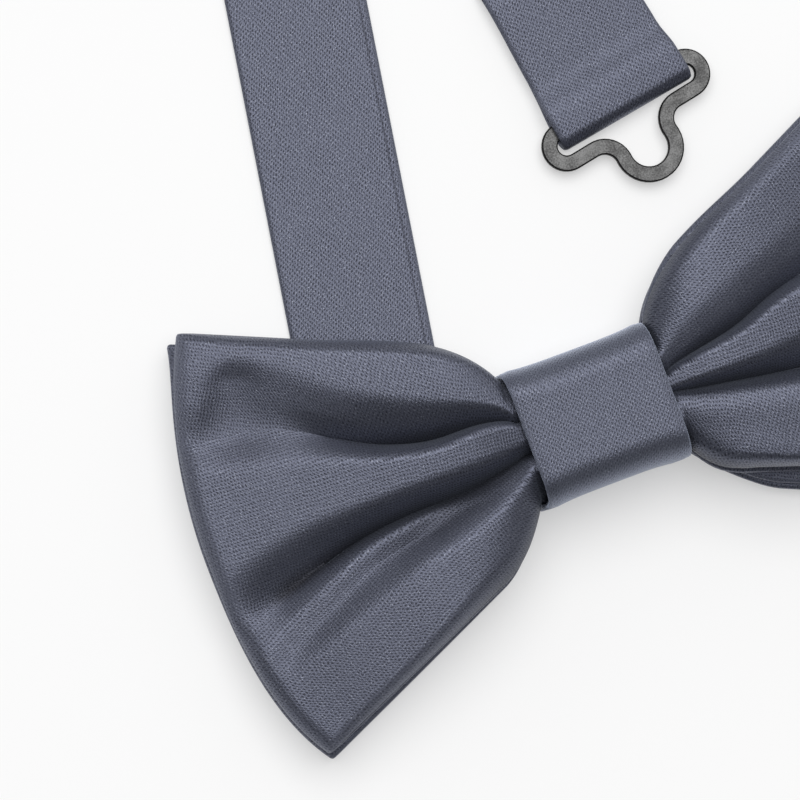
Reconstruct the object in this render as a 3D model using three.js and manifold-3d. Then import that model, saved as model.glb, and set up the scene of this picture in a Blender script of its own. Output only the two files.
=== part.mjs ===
// A pre-tied satin bow tie, unfastened and lying on its back. Units are millimetres.
// +X runs along the bow, +Y up its height and +Z out of its front.
// The origin is the middle of the knot's flat back.
import * as THREE from "three";
import Module from "manifold-3d";
import { mergeVertices } from "three/addons/utils/BufferGeometryUtils.js";

const wasm = await Module();
wasm.setup();

// Driving dimensions
const CLOTH = 1.2; // a wall of doubled satin
const CLEARANCE = 0.3; // between plies and between pieces
const WING = {
  root: 11.7, // where the cloth leaves the knot
  reach: 59.7, // middle of the outer fold
  cornerReach: 52.6,
  lowCornerReach: 53.2,
  cornerHalf: 32.2,
  kneeReach: 17.8, // the shoulder just outside the knot
  lowKneeReach: 20.5, // the lower one is rounder
  kneeHalf: 17.3,
  waistHalf: 8.4,
  lowerShare: 0.993, // a wing's lower half is this share of its upper one
};
// How the bows' right wings differ: the rise for each millimetre out, and the lower half's share of its height.
const FRONT_RIGHT = { lean: 0.037, lower: 0.885 };
const BACK_RIGHT = { lean: -0.02, lower: 1 };
const KNOT = { half: 11.4, halfHeight: 10.1, flare: 0.5, top: 14.8, frontRound: 4.6, backRound: 2.6 };
const STRAP = { width: 20.6, thick: 1.2, turnRadius: 0.8, endRadius: 1.3 };
const EYE = { thick: 1.0, ribbon: 2.35, earOut: 10.45, earRadius: 3.7, noseOut: 6.35, noseRadius: 5.25 };
const EYE_FILLET = 2.0;
const EYE_TWIST = THREE.MathUtils.degToRad(1.2); // it sits a little askew in the strap's fold
const EYE_PULLED = 0.2; // and this much further into the strap
const HOOK = { thick: 1.0, half: 12.6, slotHalf: 11, rail: 2.2, slot: 3.4 };
const TONGUE = { half: 2.2, long: 7.4, lip: 5 };
const COLOURS = { satin: 0x6a6d7e, strap: 0x6a6d7e, steel: 0x8a8a88 };

const clamp = (t) => Math.min(1, Math.max(0, t));
const smooth = (t) => clamp(t) ** 2 * (3 - 2 * clamp(t));
const mix = (a, b, t) => a + (b - a) * t;

// A smooth curve through the rows of a table, read by the column named key.
function through(rows, at, key) {
  const x = rows.map((row) => row[at]);
  const y = rows.map((row) => row[key]);
  const last = x.length - 2;
  const slope = (i) => (y[i + 1] - y[i]) / (x[i + 1] - x[i]);
  const tangent = x.map((_, i) => (slope(Math.max(0, i - 1)) + slope(Math.min(last, i))) / 2);
  return (at) => {
    let i = 0;
    while (i < last && at > x[i + 1]) i += 1;
    const span = x[i + 1] - x[i];
    const t = clamp((at - x[i]) / span);
    return (
      (2 * t ** 3 - 3 * t ** 2 + 1) * y[i] +
      (t ** 3 - 2 * t ** 2 + t) * span * tangent[i] +
      (3 * t ** 2 - 2 * t ** 3) * y[i + 1] +
      (t ** 3 - t ** 2) * span * tangent[i + 1]
    );
  };
}

// Heights of the plies along a wing. out is 0 where the cloth leaves the knot and 1 at the outer fold.
const PLIES = [
  { out: 0.0, backLow: 3.1, backHigh: 5.1, frontLow: 5.4, crown: 13.2 },
  { out: 0.15, backLow: 3.1, backHigh: 5.4, frontLow: 5.7, crown: 14.9 },
  { out: 0.4, backLow: 3.1, backHigh: 5.4, frontLow: 5.7, crown: 14.9 },
  { out: 0.7, backLow: 2.6, backHigh: 4.9, frontLow: 5.2, crown: 12.5 },
  { out: 0.9, backLow: 1.8, backHigh: 4.1, frontLow: 4.4, crown: 10.4 },
  { out: 1.0, backLow: 1.6, backHigh: 3.8, frontLow: 4.1, crown: 9.6 },
];
const backLow = through(PLIES, "out", "backLow");
const backHigh = through(PLIES, "out", "backHigh");
const frontLow = through(PLIES, "out", "frontLow");
const crown = through(PLIES, "out", "crown");
const lowestFront = (out) => Math.min(frontLow(out) + 2 * CLOTH + CLEARANCE, crown(out));

// The lines that the folds follow, from a wing's upper edge to its lower one, at the distances of FOLD_AT.
// v is a line's place across the wing, 1 at the upper edge and -1 at the lower one.
// k is its height there, from 0 on the ply behind to 1 at the crown.
const FOLD_AT = [0.0, 0.1, 0.25, 0.4, 0.55, 0.7, 0.85, 0.95];
const UPPER_EDGE = [0.3, 0.4, 0.5, 0.55, 0.58, 0.6, 0.64, 0.74];
const LOWER_EDGE = [0.2, 0.3, 0.36, 0.4, 0.44, 0.48, 0.54, 0.68];
const LEFT_FOLDS = [
  { line: "upper edge", v: Array(8).fill(1), k: UPPER_EDGE },
  {
    line: "upper shoulder",
    v: [0.88, 0.88, 0.88, 0.9, 0.92, 0.93, 0.95, 0.95],
    k: [0.85, 0.92, 0.96, 0.97, 0.97, 0.97, 0.97, 0.97],
  },
  {
    line: "upper crest",
    v: [0.54, 0.53, 0.58, 0.66, 0.76, 0.87, 0.91, 0.86],
    k: [0.97, 1, 1, 1, 1, 1, 1, 1],
  },
  {
    line: "upper flank",
    v: [0.45, 0.43, 0.42, 0.47, 0.56, 0.7, 0.78, 0.68],
    k: [0.86, 0.86, 0.82, 0.78, 0.8, 0.84, 0.72, 0.9],
  },
  {
    line: "upper crease",
    v: [0.34, 0.29, 0.24, 0.295, 0.41, 0.5, 0.52, 0.5],
    k: [0, 0, 0.06, 0.24, 0.42, 0.62, 0.45, 0.62],
  },
  {
    line: "middle crest",
    v: [0.22, 0.2, 0.15, 0.18, 0.25, 0.3, 0.32, 0.34],
    k: [0.95, 0.98, 0.98, 0.98, 0.97, 0.97, 0.98, 1],
  },
  {
    line: "middle shoulder",
    v: [0.02, 0.01, 0.01, 0.01, 0.01, 0.01, -0.02, -0.05],
    k: [0.94, 0.94, 0.94, 0.94, 0.94, 0.95, 0.97, 1],
  },
  {
    line: "lower crease",
    v: [-0.22, -0.2, -0.21, -0.19, -0.2, -0.24, -0.28, -0.3],
    k: [0, 0, 0, 0.02, 0.04, 0.08, 0.12, 0.45],
  },
  {
    line: "small crest",
    v: [-0.34, -0.31, -0.275, -0.26, -0.28, -0.35, -0.42, -0.48],
    k: [0.6, 0.55, 0.42, 0.5, 0.56, 0.62, 0.7, 0.92],
  },
  {
    line: "small crease",
    v: [-0.42, -0.39, -0.35, -0.35, -0.37, -0.44, -0.5, -0.56],
    k: [0.82, 0.76, 0.54, 0.4, 0.42, 0.5, 0.66, 0.9],
  },
  {
    line: "lower crest",
    v: [-0.52, -0.52, -0.56, -0.55, -0.58, -0.6, -0.63, -0.66],
    k: [1, 1, 1, 1, 1, 1, 1, 1],
  },
  {
    line: "lower shoulder",
    v: [-0.64, -0.65, -0.74, -0.82, -0.86, -0.88, -0.9, -0.92],
    k: [0.88, 0.9, 0.94, 0.96, 0.96, 0.96, 0.96, 0.97],
  },
  { line: "lower edge", v: Array(8).fill(-1), k: LOWER_EDGE },
];
const RIGHT_FOLDS = [
  { line: "upper edge", v: Array(8).fill(1), k: UPPER_EDGE },
  {
    line: "upper shoulder",
    v: [0.85, 0.86, 0.88, 0.9, 0.9, 0.9, 0.9, 0.9],
    k: [0.75, 0.86, 0.94, 0.96, 0.97, 0.97, 0.97, 0.97],
  },
  {
    line: "upper crest",
    v: [0.56, 0.58, 0.6, 0.62, 0.64, 0.66, 0.7, 0.72],
    k: [1, 1, 1, 1, 1, 1, 1, 1],
  },
  {
    line: "upper flank",
    v: [0.4, 0.4, 0.41, 0.46, 0.48, 0.5, 0.52, 0.54],
    k: [0.84, 0.84, 0.84, 0.84, 0.86, 0.9, 0.94, 0.98],
  },
  {
    line: "upper crease",
    v: [0.22, 0.2, 0.22, 0.3, 0.33, 0.34, 0.35, 0.36],
    k: [0, 0.02, 0.1, 0.24, 0.38, 0.52, 0.68, 0.88],
  },
  {
    line: "middle crest",
    v: [0.15, 0.14, 0.15, 0.22, 0.24, 0.24, 0.24, 0.24],
    k: [0.96, 0.97, 0.98, 0.97, 0.96, 0.96, 0.97, 0.98],
  },
  {
    line: "middle shoulder",
    v: [0.04, 0.02, 0, 0.02, 0.03, 0.03, 0.03, 0.02],
    k: [0.9, 0.94, 0.96, 0.98, 0.98, 0.98, 0.98, 1],
  },
  {
    line: "lower crease",
    v: [-0.08, -0.13, -0.2, -0.245, -0.27, -0.3, -0.32, -0.34],
    k: [0, 0, 0.06, 0.2, 0.36, 0.52, 0.68, 0.88],
  },
  {
    line: "lower rise",
    v: [-0.22, -0.28, -0.36, -0.4, -0.43, -0.46, -0.48, -0.49],
    k: [0.93, 0.95, 0.96, 0.97, 0.97, 0.97, 0.98, 1],
  },
  {
    line: "lower crest",
    v: [-0.36, -0.4, -0.48, -0.52, -0.55, -0.58, -0.6, -0.6],
    k: [1, 1, 1, 1, 1, 1, 1, 1],
  },
  {
    line: "lower swell",
    v: [-0.54, -0.6, -0.68, -0.74, -0.76, -0.78, -0.8, -0.8],
    k: [0.96, 0.97, 0.98, 0.98, 0.99, 0.99, 0.99, 1],
  },
  {
    line: "lower shoulder",
    v: [-0.72, -0.8, -0.87, -0.9, -0.91, -0.92, -0.92, -0.93],
    k: [0.8, 0.88, 0.93, 0.95, 0.96, 0.96, 0.96, 0.97],
  },
  { line: "lower edge", v: Array(8).fill(-1), k: LOWER_EDGE },
];
const PLAIN_LINES = [1, 0.5, 0, -0.5, -1]; // a flat ply has no folds to follow

// Half the wing's height at a distance x from the middle of the bow; the lower half's knee is rounder.
function halfHeight(x, v) {
  const from = WING.root;
  if (x <= from) return WING.waistHalf;
  const slope = (WING.cornerHalf - WING.kneeHalf) / (WING.cornerReach - WING.kneeReach);
  const straight = (at) => WING.kneeHalf + slope * (at - WING.kneeReach);
  const knee = v < 0 ? WING.lowKneeReach : WING.kneeReach;
  const past = clamp((x - from) / (knee - from));
  const half = straight(x) - (straight(from) - WING.waistHalf) * (1 - Math.sin((Math.PI / 2) * past));
  return v < 0 ? half * mix(1, WING.lowerShare, smooth(past)) : half;
}

// A point of a wing. out is the share of the way to the outer fold, which bows outwards, and v is the place
// across. spill is how far the ply shows past the outline. right is how the right wing differs.
function wingPoint(side, out, v, z, spill, right) {
  const x = distance(out, v);
  const half = halfHeight(x, v) + spill * smooth(out / 0.2);
  if (side < 0) return new THREE.Vector3(side * x, v * half, z);
  const past = smooth((x - WING.root) / (WING.kneeReach - WING.root));
  const lower = v < 0 ? mix(1, right.lower, past) : 1;
  return new THREE.Vector3(side * x, v * half * lower + right.lean * (x - WING.root), z);
}

// The distance from the middle of the bow at the place out and v.
function distance(out, v) {
  const corner = v < 0 ? WING.lowCornerReach : WING.cornerReach;
  const bow = Math.min(1, Math.abs(v)) ** (v < 0 ? 2.6 : 1.9);
  return mix(WING.root, mix(WING.reach, corner, bow), out);
}

// A fold line's place v and height k, out along the wing.
function foldLine(row, out) {
  const rows = FOLD_AT.map((at, i) => ({ at, v: row.v[i], k: row.k[i] }));
  return { v: through(rows, "at", "v")(out), k: through(rows, "at", "k")(out) };
}

// How steeply the cloth meets its edges, and its creases near the knot, as a share of the even slope.
const STEEPEST = 2.6;

// Points across the front cloth, from its lower edge to its upper one: steps of them between two fold lines.
// It runs level over a crest and evenly past a flank. It meets a crease steeply near the knot.
function acrossFront(folds, out, steps) {
  const lines = folds.map((row) => foldLine(row, out)).reverse();
  const last = lines.length - 1;
  const low = lowestFront(out);
  const slope = (n) => (lines[n + 1].k - lines[n].k) / (lines[n + 1].v - lines[n].v);
  const tangent = (n, own) => {
    if (n === 0 || n === last) return STEEPEST * slope(own);
    const [before, after] = [slope(n - 1), slope(n)];
    if (before * after > 0) return (2 * before * after) / (before + after);
    if (before >= 0) return 0;
    const drop = Math.min(lines[n - 1].k, lines[n + 1].k) - lines[n].k;
    return STEEPEST * (1 - smooth(out / 0.9)) * smooth(drop / 0.25) * slope(own);
  };
  const points = [];
  for (let n = 0; n < last; n += 1) {
    const [a, b] = [lines[n], lines[n + 1]];
    const span = b.v - a.v;
    for (let s = 0; s < steps; s += 1) {
      const t = s / steps;
      const turning = (t ** 3 - 2 * t ** 2 + t) * tangent(n, n) + (t ** 3 - t ** 2) * tangent(n + 1, n);
      const k = mix(a.k, b.k, smooth(t)) + span * turning;
      points.push({ v: mix(a.v, b.v, t), z: mix(low, crown(out), k) });
    }
  }
  points.push({ v: lines[last].v, z: mix(low, crown(out), lines[last].k) });
  return points;
}

const toMesh = (name, geometry, colour, metal = 0, rough = 0.6) => {
  const material = new THREE.MeshStandardMaterial({ color: colour, roughness: rough, metalness: metal });
  const mesh = new THREE.Mesh(geometry, material);
  mesh.name = name;
  return mesh;
};

function geometryOf(points, triangles) {
  const geometry = new THREE.BufferGeometry();
  const places = points.flatMap((p) => [p.x, p.y, p.z]);
  geometry.setAttribute("position", new THREE.Float32BufferAttribute(places, 3));
  geometry.setIndex(triangles);
  return geometry;
}

// The same body with its triangles facing out.
function outward(geometry) {
  const { array } = geometry.attributes.position;
  const index = geometry.index.array;
  const corner = (i) => new THREE.Vector3().fromArray(array, 3 * index[i]);
  let volume = 0;
  for (let i = 0; i < index.length; i += 3) {
    volume += corner(i).dot(corner(i + 1).cross(corner(i + 2)));
  }
  if (volume < 0) geometry.setIndex(Array.from(index).reverse());
  return geometry;
}

function solid(geometry) {
  const bare = geometry.clone();
  bare.deleteAttribute("normal");
  bare.deleteAttribute("uv");
  const merged = mergeVertices(bare, 1e-4);
  return new wasm.Manifold(
    new wasm.Mesh({
      numProp: 3,
      vertProperties: new Float32Array(merged.attributes.position.array),
      triVerts: new Uint32Array(merged.index.array),
    }),
  );
}

function fromSolid(made) {
  const { vertProperties, triVerts, numProp } = made.getMesh();
  const points = [];
  for (let i = 0; i < vertProperties.length; i += numProp) {
    points.push(new THREE.Vector3(vertProperties[i], vertProperties[i + 1], vertProperties[i + 2]));
  }
  return geometryOf(points, Array.from(triVerts));
}

// A closed body between two grids of points: rows run along +X, columns along +Y.
function slab(top, bottom) {
  const rows = top.length;
  const columns = top[0].length;
  const points = [...top.flat(), ...bottom.flat()];
  const above = (i, j) => i * columns + j;
  const below = (i, j) => rows * columns + i * columns + j;
  const triangles = [];
  const quad = (a, b, c, d) => triangles.push(a, b, c, a, c, d);
  for (let i = 0; i < rows - 1; i += 1) {
    for (let j = 0; j < columns - 1; j += 1) {
      quad(above(i, j), above(i + 1, j), above(i + 1, j + 1), above(i, j + 1));
      quad(below(i, j), below(i, j + 1), below(i + 1, j + 1), below(i + 1, j));
    }
    quad(below(i, 0), below(i + 1, 0), above(i + 1, 0), above(i, 0));
    quad(above(i, columns - 1), above(i + 1, columns - 1), below(i + 1, columns - 1), below(i, columns - 1));
  }
  for (let j = 0; j < columns - 1; j += 1) {
    quad(below(0, j + 1), below(0, j), above(0, j), above(0, j + 1));
    quad(below(rows - 1, j), below(rows - 1, j + 1), above(rows - 1, j + 1), above(rows - 1, j));
  }
  return geometryOf(points, triangles);
}

// A closed body through rings of points, each ring the same number of points; the ends are fans.
function loft(rings, closed = false) {
  const count = rings[0].length;
  const points = rings.flat();
  const triangles = [];
  const spans = closed ? rings.length : rings.length - 1;
  for (let i = 0; i < spans; i += 1) {
    const next = (i + 1) % rings.length;
    for (let j = 0; j < count; j += 1) {
      const side = (j + 1) % count;
      const [a, b, c, d] = [i * count + j, i * count + side, next * count + side, next * count + j];
      triangles.push(a, b, c, a, c, d);
    }
  }
  if (!closed) {
    const last = (rings.length - 1) * count;
    for (let j = 1; j < count - 1; j += 1) {
      triangles.push(0, j + 1, j);
      triangles.push(last, last + j, last + j + 1);
    }
  }
  return outward(geometryOf(points, triangles));
}

// Shares of the way out along a wing where the cloth has a section, the last ones rounding the outer fold.
const OUT_STEPS = [0, 0.04, 0.09, 0.16, 0.26, 0.38, 0.5, 0.63, 0.76, 0.88, 0.95];
const FOLD_ROUND = [
  { out: 0.978, squeeze: 0.1 },
  { out: 0.993, squeeze: 0.45 },
  { out: 1.0, squeeze: 0.82 },
];

// Both wings of a looped band, from the left outer fold to the right one, as a grid of points.
// heights(side, out) gives the points across at that section.
// squeeze draws both plies to the middle of the fold.
function bandGrid(heights, middle, spill, right) {
  const stations = [...OUT_STEPS.map((out) => ({ out, squeeze: 0 })), ...FOLD_ROUND];
  const row = (side, { out, squeeze }) =>
    heights(side, out).map(({ v, z }) => wingPoint(side, out, v, mix(z, middle(out), squeeze), spill, right));
  return [...[...stations].reverse().map((s) => row(-1, s)), ...stations.map((s) => row(1, s))];
}

// The hollow inside one wing, open past both edges of the cloth.
function wingHollow(side, top, bottom, from, to, right) {
  const outs = OUT_STEPS.filter((out) => out > from && out < to);
  const stations = [from, ...outs, to];
  const past = (points) => points.map(({ v, z }) => ({ v: Math.abs(v) === 1 ? 1.15 * v : v, z }));
  const grid = (heights) =>
    (side < 0 ? [...stations].reverse() : stations).map((out) =>
      past(heights(out)).map(({ v, z }) => wingPoint(side, out, v, z, 0, right)),
    );
  return solid(slab(grid(top), grid(bottom)));
}

const FRONT_STEPS = 2; // points between two fold lines
const SPILL = { frontTop: -0.4, frontRear: 0.1, back: -0.3 }; // how far each ply shows past the wing's outline
const BACK_WALL = 1.0;

// The inner face of a folded cloth: CLOTH deep square to its slope, and clear of the ply behind.
function underside(points, half, behind) {
  return points.map(({ v, z }, j) => {
    const before = points[Math.max(0, j - 1)];
    const after = points[Math.min(points.length - 1, j + 1)];
    const slope = (after.z - before.z) / (half * (after.v - before.v));
    const depth = CLOTH * Math.min(1.7, Math.hypot(1, slope));
    return { v, z: Math.max(z - depth, behind + CLEARANCE) };
  });
}

function bowFront() {
  const folds = (side) => (side < 0 ? LEFT_FOLDS : RIGHT_FOLDS);
  const across = (side, out) => acrossFront(folds(side), out, FRONT_STEPS);
  const flat = (side, out, z) => across(side, out).map(({ v }) => ({ v, z }));
  const middle = (out) => (crown(out) + frontLow(out)) / 2;
  const top = bandGrid(across, middle, SPILL.frontTop, FRONT_RIGHT);
  const bottom = bandGrid((side, out) => flat(side, out, frontLow(out)), middle, SPILL.frontRear, FRONT_RIGHT);
  let body = solid(slab(top, bottom));
  for (const side of [-1, 1]) {
    const roof = (out) => underside(across(side, out), halfHeight(distance(out, 0), 0), frontLow(out) + CLOTH);
    const floor = (out) => flat(side, out, frontLow(out) + CLOTH);
    body = body.subtract(wingHollow(side, roof, floor, 0.03, 0.965, FRONT_RIGHT));
  }
  return toMesh("bow_front", fromSolid(body), COLOURS.satin);
}

const BACK_TURN = THREE.MathUtils.degToRad(0.8); // the rear bow sits slightly turned
const BACK_DOWN = 0.4; // and lower than the front one

function bowBack() {
  const line = [...PLAIN_LINES].reverse();
  const flat = (z) => line.map((v) => ({ v, z }));
  const middle = (out) => (backHigh(out) + backLow(out)) / 2;
  const top = bandGrid((_, out) => flat(backHigh(out)), middle, SPILL.back, BACK_RIGHT);
  const bottom = bandGrid((_, out) => flat(backLow(out)), middle, SPILL.back, BACK_RIGHT);
  let body = solid(slab(top, bottom));
  for (const side of [-1, 1]) {
    const roof = (out) => flat(backHigh(out) - BACK_WALL);
    const floor = (out) => flat(backLow(out) + BACK_WALL);
    body = body.subtract(wingHollow(side, roof, floor, 0.1, 0.94, BACK_RIGHT));
  }
  const mesh = toMesh("bow_back", fromSolid(body), COLOURS.satin);
  mesh.rotation.z = BACK_TURN;
  mesh.position.y = -BACK_DOWN;
  return mesh;
}

// The knot's section across the bow: flat behind, rounder in front, widening a little at the band's two edges.
function knotRing(x, inset) {
  const wide = KNOT.halfHeight + KNOT.flare * (x / KNOT.half) ** 4 - inset;
  const [low, high] = [inset, KNOT.top - inset];
  const front = KNOT.frontRound - inset;
  const back = Math.max(0.8, KNOT.backRound - inset);
  const path = new THREE.Path();
  path.moveTo(-wide + back, low);
  path.lineTo(wide - back, low);
  path.absarc(wide - back, low + back, back, -Math.PI / 2, 0);
  path.absarc(wide - front, high - front, front, 0, Math.PI / 2);
  path.absarc(-wide + front, high - front, front, Math.PI / 2, Math.PI);
  path.absarc(-wide + back, low + back, back, Math.PI, 1.5 * Math.PI);
  const ring = path.getPoints(5);
  const first = ring[0];
  const apart = (p, q) => p.distanceTo(q) > 1e-3;
  const open = ring.filter((p, i) => i === 0 || (apart(p, ring[i - 1]) && apart(p, first)));
  return open.map((p) => new THREE.Vector3(x, p.x, p.y));
}

function knot() {
  const stations = [-1, -0.8, -0.4, 0.4, 0.8, 1].map((s) => s * KNOT.half);
  const outer = stations.map((x) => knotRing(x, 0));
  const inner = [...stations].reverse().map((x) => knotRing(x, CLOTH));
  return toMesh("knot", loft([...outer, ...inner], true), COLOURS.satin);
}

// The strap's path. It runs from the hook, through the knot, turns up behind the left wing and comes back
// to the eye.
const LEVEL = STRAP.thick / 2; // middle of a strap lying on the table
const OPEN = LEVEL + 2 * STRAP.endRadius; // middle of the ply above a clasp's bar
const CLOSED = LEVEL + STRAP.thick + CLEARANCE; // middle of the ply above a sewn flap
const OVER_TURN = LEVEL + 2 * STRAP.turnRadius;
const HOOK_END = 80; // x of the fold round the hook's bar
const FLAP = { hook: 13, eye: 20, taper: 0.07 }; // the eye's flap narrows by its taper for each millimetre
const HOOK_RUN = [
  { x: -30, level: OVER_TURN, width: STRAP.width },
  { x: -20, level: OVER_TURN, width: STRAP.width },
  { x: -11, level: OVER_TURN, width: 15.8 },
  { x: 11, level: OVER_TURN, width: 15.8 },
  { x: 20, level: LEVEL, width: STRAP.width },
  { x: 61, level: LEVEL, width: STRAP.width },
  { x: 66, level: CLOSED, width: STRAP.width },
  { x: 72, level: CLOSED, width: STRAP.width },
  { x: 77, level: OPEN, width: STRAP.width },
  { x: HOOK_END, level: OPEN, width: STRAP.width },
];
const HOOK_RUN_AT = [79, 77, 75.5, 74, 72, 66, 64.5, 63, 61, 40, 20, 18, 15.5, 13, 11];
const PAST_KNOT_AT = [0, -11, -13, -15.5, -18, -20];
const TURN = { x: -30.3, y: 0 }; // middle of the slanted fold
const UP = THREE.MathUtils.degToRad(80.4); // heading of the long side as it leaves that fold
const LONG_SIDE = 76; // flat and straight
const EYE_END = { x: 21.7, y: 41.6 }; // middle of the fold round the eye's bar
const EYE_UP = THREE.MathUtils.degToRad(100); // heading away from the eye
const EYE_SIDE = 21; // straight
const EYE_RUN = [
  { from: 0, level: OPEN, width: 22.2 },
  { from: 3.2, level: OPEN, width: 22.1 },
  { from: 8, level: CLOSED, width: 21.4 },
  { from: 21.5, level: CLOSED, width: STRAP.width },
  { from: 28, level: LEVEL, width: STRAP.width },
  { from: 200, level: LEVEL, width: STRAP.width },
];
const APEX = { x: -1, y: 178, handle: 27 }; // the far end of the loop, where the strap stands on its edge
const BEND_HANDLE = { long: 45, eye: 60 };
const ROLL = { from: 4, to: 82 }; // along the long side's bend, where the strap rolls on to its edge

const heading = (angle) => new THREE.Vector3(Math.cos(angle), Math.sin(angle), 0);
const leftOf = (along) => new THREE.Vector3(-along.y, along.x, 0);
const UPWARD = new THREE.Vector3(0, 0, 1);

// A value eased from row to row of a table, level at every row.
function eased(rows, at, key) {
  return (value) => {
    const next = Math.max(1, rows.findIndex((row) => row[at] >= value));
    const [a, b] = [rows[next - 1], rows[next]];
    return mix(a[key], b[key], smooth((value - a[at]) / (b[at] - a[at])));
  };
}

// A section of the strap: its middle, the way across to its outer edge and the way out of its face.
const section = (middle, across, face, width = STRAP.width) => ({ middle, across, face, width });

// Sections round a half turn. along points out of the fold; edge is 1 when the outer edge is on its left.
function foldRound(at, along, low, radius, rising, edge, width = STRAP.width) {
  const steps = 6;
  const across = leftOf(along).multiplyScalar(edge);
  const facing = (rising ? 1 : -1) * edge;
  return Array.from({ length: steps + 1 }, (_, i) => {
    const turn = (Math.PI * (rising ? i : steps - i)) / steps;
    const middle = new THREE.Vector3(at.x, at.y, low + radius * (1 - Math.cos(turn)));
    middle.addScaledVector(along, radius * Math.sin(turn));
    const face = along.clone().multiplyScalar(-Math.sin(turn)).addScaledVector(UPWARD, Math.cos(turn));
    return section(middle, across.clone(), face.multiplyScalar(facing), width);
  });
}

// The bend off the end of a straight side, up to the apex.
function bend(start, angle, handle, side) {
  const first = heading(angle).multiplyScalar(handle).add(start);
  const last = new THREE.Vector3(APEX.x + side * APEX.handle, APEX.y, 0);
  return new THREE.CubicBezierCurve3(start, first, last, new THREE.Vector3(APEX.x, APEX.y, 0));
}

// Sections along a bend, where the strap rolls from flat on to its inner edge.
function bendSections(curve, steps, side, level, rollFrom, rollTo) {
  return Array.from({ length: steps + 1 }, (_, i) => {
    const along = curve.getTangentAt(i / steps).multiplyScalar(-side);
    const gone = (i / steps) * curve.getLength();
    const roll = (Math.PI / 2) * smooth((gone - rollFrom) / (rollTo - rollFrom));
    const middle = curve.getPointAt(i / steps);
    middle.z = level(gone) + (STRAP.width / 2) * Math.sin(roll);
    const across = leftOf(along).multiplyScalar(Math.cos(roll)).addScaledVector(UPWARD, Math.sin(roll));
    return section(middle, across, new THREE.Vector3().crossVectors(along, across));
  });
}

function strapSections() {
  const flat = (x, y, z, along, facing, width) =>
    section(
      new THREE.Vector3(x, y, z),
      leftOf(along).multiplyScalar(facing),
      new THREE.Vector3(0, 0, facing),
      width,
    );
  const east = heading(0);
  const west = heading(Math.PI);
  const all = [flat(HOOK_END - FLAP.hook, 0, LEVEL, east, 1)];
  all.push(...foldRound({ x: HOOK_END, y: 0 }, east, LEVEL, STRAP.endRadius, true, 1));
  const level = eased(HOOK_RUN, "x", "level");
  const width = eased(HOOK_RUN, "x", "width");
  all.push(...[...HOOK_RUN_AT, ...PAST_KNOT_AT].map((x) => flat(x, 0, level(x), west, -1, width(x))));
  const foldLine = (UP + Math.PI) / 2;
  const slanted = STRAP.width / Math.sin(foldLine - UP);
  all.push(...foldRound(TURN, heading(foldLine + Math.PI / 2), LEVEL, STRAP.turnRadius, false, -1, slanted));
  const up = heading(UP);
  const longAt = (d) => flat(TURN.x + up.x * d, TURN.y + up.y * d, LEVEL, up, 1);
  all.push(longAt(12), longAt(40));
  const eyeUp = heading(EYE_UP);
  const down = eyeUp.clone().negate();
  const eyeStart = new THREE.Vector3(EYE_END.x, EYE_END.y, 0).addScaledVector(eyeUp, EYE_SIDE);
  const longStart = new THREE.Vector3(TURN.x, TURN.y, 0).addScaledVector(up, LONG_SIDE);
  const longBend = bend(longStart, UP, BEND_HANDLE.long, -1);
  const eyeBend = bend(eyeStart, EYE_UP, BEND_HANDLE.eye, 1);
  const eyeLevel = eased(EYE_RUN, "from", "level");
  all.push(...bendSections(longBend, 26, -1, () => LEVEL, ROLL.from, ROLL.to));
  const spare = eyeBend.getLength() - longBend.getLength();
  const eyeLevelAt = (gone) => eyeLevel(gone + EYE_SIDE);
  const back = bendSections(eyeBend, 28, 1, eyeLevelAt, ROLL.from + spare, ROLL.to + spare).reverse();
  all.push(...back.slice(1));
  const eyeWidth = eased(EYE_RUN, "from", "width");
  const eyeAt = (d, z, along, facing, taper = 0) =>
    flat(EYE_END.x + eyeUp.x * d, EYE_END.y + eyeUp.y * d, z, along, facing, eyeWidth(d) - taper * d);
  all.push(...[16, 12, 8, 6.8, 5.6, 4.4, 3.2].map((d) => eyeAt(d, eyeLevel(d), down, 1)));
  all.push(...foldRound(EYE_END, down, LEVEL, STRAP.endRadius, false, 1, eyeWidth(0)));
  all.push(...[8, 14, FLAP.eye].map((d) => eyeAt(d, LEVEL, eyeUp, -1, FLAP.taper)));
  return all;
}

// The strap's cross-section: the side that a point is on, its step in from the edge and its share of half
// the thickness.
const SECTION = [
  { side: 1, inset: 0.5, face: 1 },
  { side: -1, inset: 0.5, face: 1 },
  { side: -1, inset: 0.12, face: 0.6 },
  { side: -1, inset: 0, face: 0 },
  { side: -1, inset: 0.12, face: -0.6 },
  { side: -1, inset: 0.5, face: -1 },
  { side: 1, inset: 0.5, face: -1 },
  { side: 1, inset: 0.12, face: -0.6 },
  { side: 1, inset: 0, face: 0 },
  { side: 1, inset: 0.12, face: 0.6 },
];

function neckband() {
  const rings = strapSections().map(({ middle, across, face, width }) =>
    SECTION.map(({ side, inset, face: share }) =>
      middle
        .clone()
        .addScaledVector(across, side * (width / 2 - inset))
        .addScaledVector(face, (share * STRAP.thick) / 2),
    ),
  );
  return toMesh("neckband", loft(rings), COLOURS.strap);
}

const CLASP_LEVEL = LEVEL + STRAP.endRadius; // middle of a clasp, inside the strap's fold
const ROUND = 40; // sides of a full circle in the metal pieces

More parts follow.
